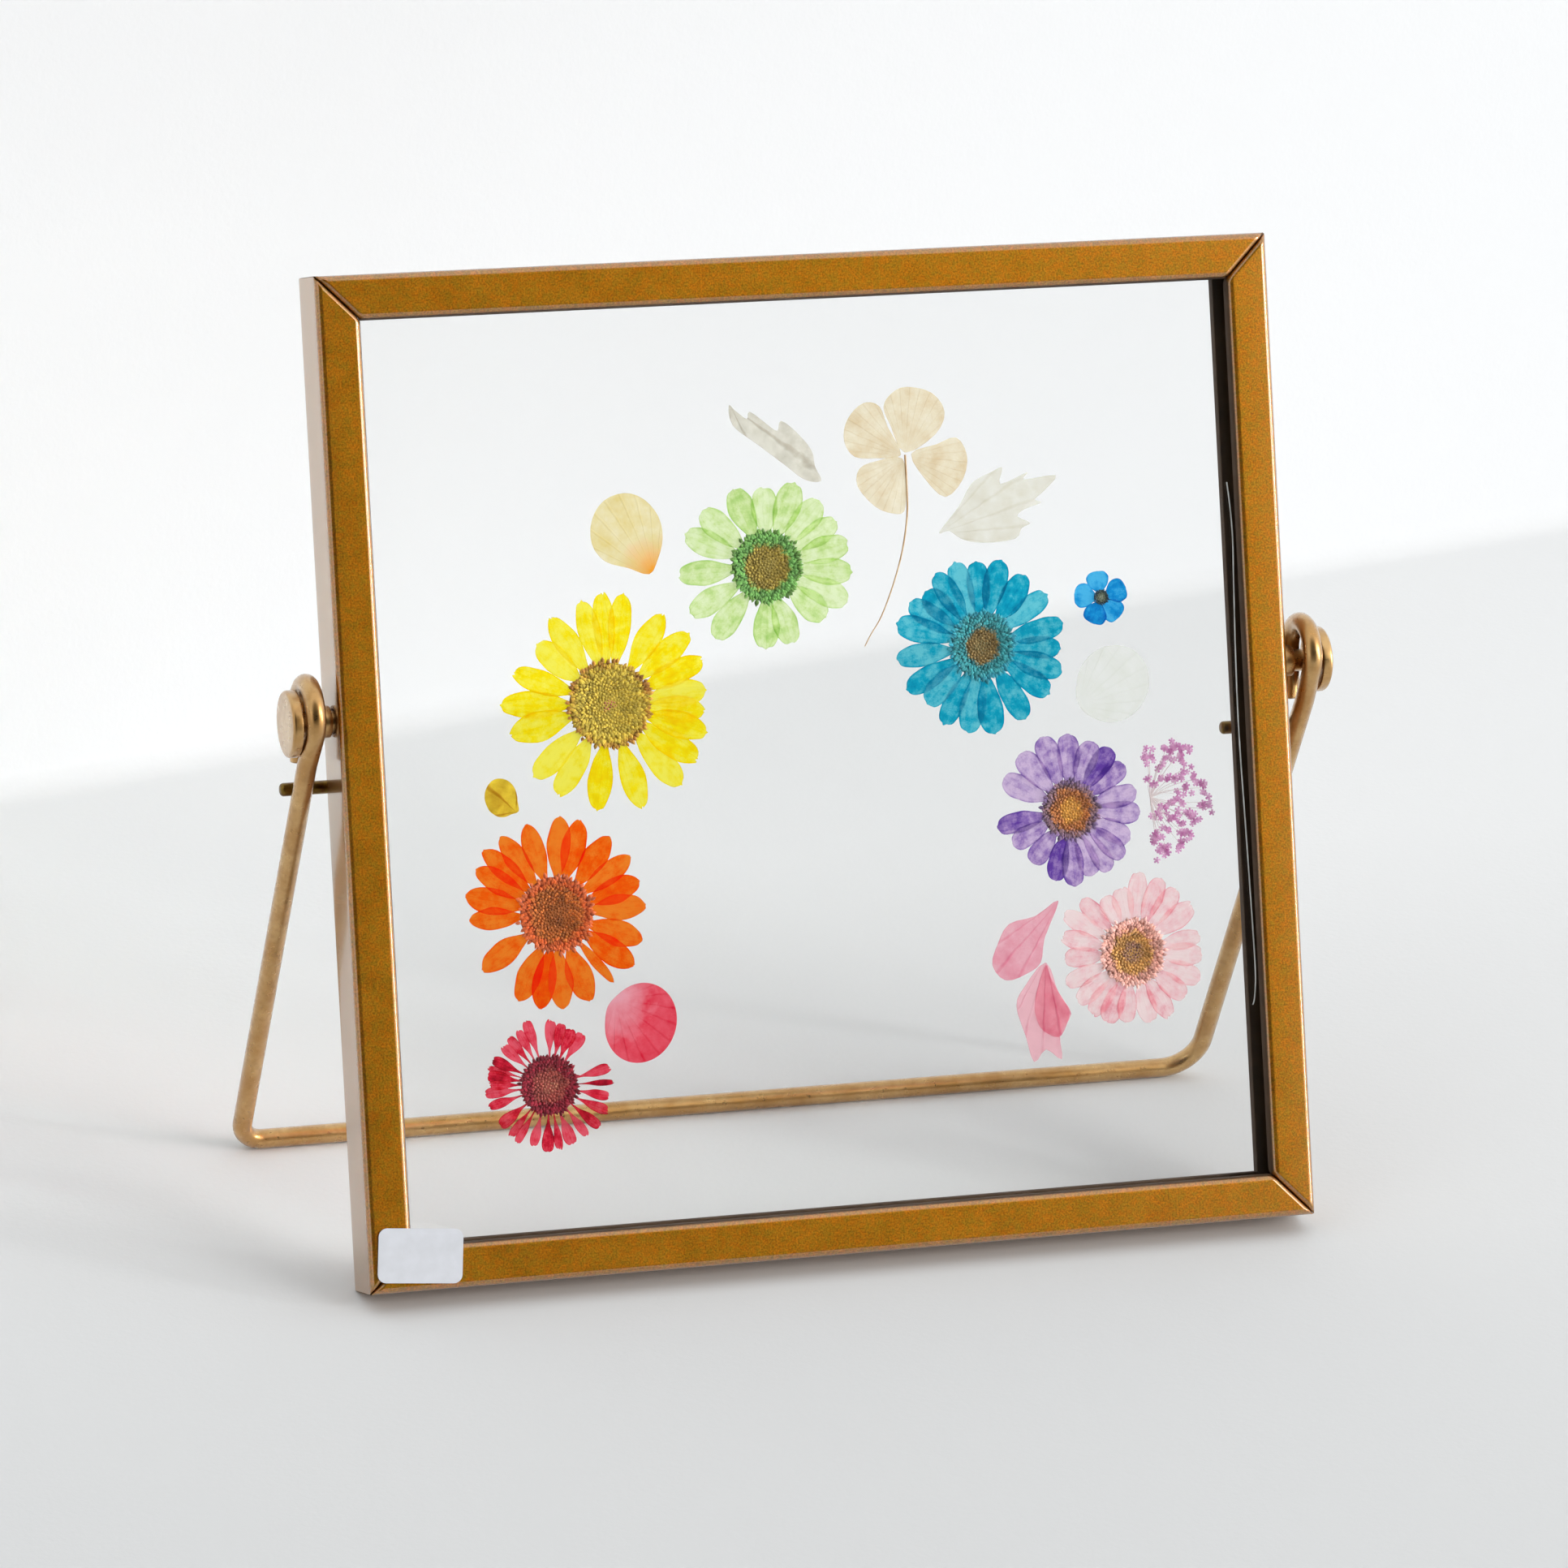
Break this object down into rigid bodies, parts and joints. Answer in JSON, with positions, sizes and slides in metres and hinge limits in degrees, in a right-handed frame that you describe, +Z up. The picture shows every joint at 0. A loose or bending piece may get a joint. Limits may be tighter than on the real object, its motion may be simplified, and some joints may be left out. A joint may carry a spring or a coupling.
{
  "type": "pressed flower frame",
  "caption": "Square glass frame of mitred gold bars with pressed flowers sealed between the panes, leaning back on a folding wire stand.",
  "frame": {"origin": "centre of the bounding box at the surface the frame stands on", "axes": "+X to the right seen from the front, +Y to the back, +Z up; the frame leans back 23.7 degrees"},
  "size_m": [0.1648, 0.0692, 0.1407],
  "materials": {
    "gold_metal": "satin gold, faintly mottled, bright on the rounded edges",
    "gold_wire": "satin brownish gold",
    "clear_glass": "clear, polished",
    "white_paper": "matt white paper",
    "pale_fibre": "pale, dull",
    "red_petal": "dried petal, veined, slightly translucent",
    "orange_petal": "dried petal, veined, slightly translucent",
    "yellow_petal": "dried petal, veined, slightly translucent",
    "green_petal": "dried petal, veined, slightly translucent",
    "blue_petal": "dried petal, veined, slightly translucent",
    "purple_petal": "dried petal, veined, slightly translucent",
    "pink_petal": "dried petal, veined, slightly translucent",
    "pale_yellow_petal": "dried petal, pale with an orange tip",
    "cream_leaf": "dried leaf, nearly white",
    "clover_leaf": "dried leaf, tan",
    "lilac_floret": "dried florets, lilac",
    "white_eye": "pale scales round a dark throat",
    "seed_head": "dried seed head, grainy"
  },
  "bodies": {
    "frame": {"frame_top_bar": "gold_metal", "frame_bottom_bar": "gold_metal", "frame_left_bar": "gold_metal", "frame_right_bar": "gold_metal", "left_rivet": "gold_wire", "right_rivet": "gold_wire", "left_spacer": "gold_wire", "right_spacer": "gold_wire", "left_stop_pin": "gold_wire", "right_stop_pin": "gold_wire", "front_glass": "clear_glass", "rear_glass": "clear_glass", "paper_label": "white_paper", "stray_fibre": "pale_fibre", "red_daisy_petals": "red_petal", "red_daisy_centre": "seed_head", "orange_daisy_petals": "orange_petal", "orange_daisy_centre": "seed_head", "yellow_daisy_petals": "yellow_petal", "yellow_daisy_centre": "seed_head", "green_daisy_petals": "green_petal", "green_daisy_centre": "seed_head", "blue_daisy_petals": "blue_petal", "blue_daisy_centre": "seed_head", "purple_daisy_petals": "purple_petal", "purple_daisy_centre": "seed_head", "pink_daisy_petals": "pink_petal", "pink_daisy_centre": "seed_head", "forget_me_not_petals": "blue_petal", "forget_me_not_centre": "white_eye", "red_round_petal": "red_petal", "pink_upper_petal": "pink_petal", "pink_lower_petal": "pink_petal", "pale_yellow_petal": "pale_yellow_petal", "yellow_bud": "yellow_petal", "cream_round_petal": "cream_leaf", "cream_folded_leaf": "cream_leaf", "cream_lobed_leaf": "cream_leaf", "clover_leaflet_left": "clover_leaf", "clover_leaflet_top": "clover_leaf", "clover_leaflet_right": "clover_leaf", "clover_leaflet_bottom": "clover_leaf", "clover_stem": "clover_leaf", "lace_flower_upper_spray": "lilac_floret", "lace_flower_lower_spray": "lilac_floret"},
    "stand": {"wire_stand": "gold_wire"}
  },
  "joints": [
    {"name": "stand_fold", "type": "hinge", "parent": "frame", "child": "stand", "pos_m": [-0.00025, 0.00398, 0.07916], "axis": [-1, 0, 0], "range_deg": [0, 28.5]}
  ]
}
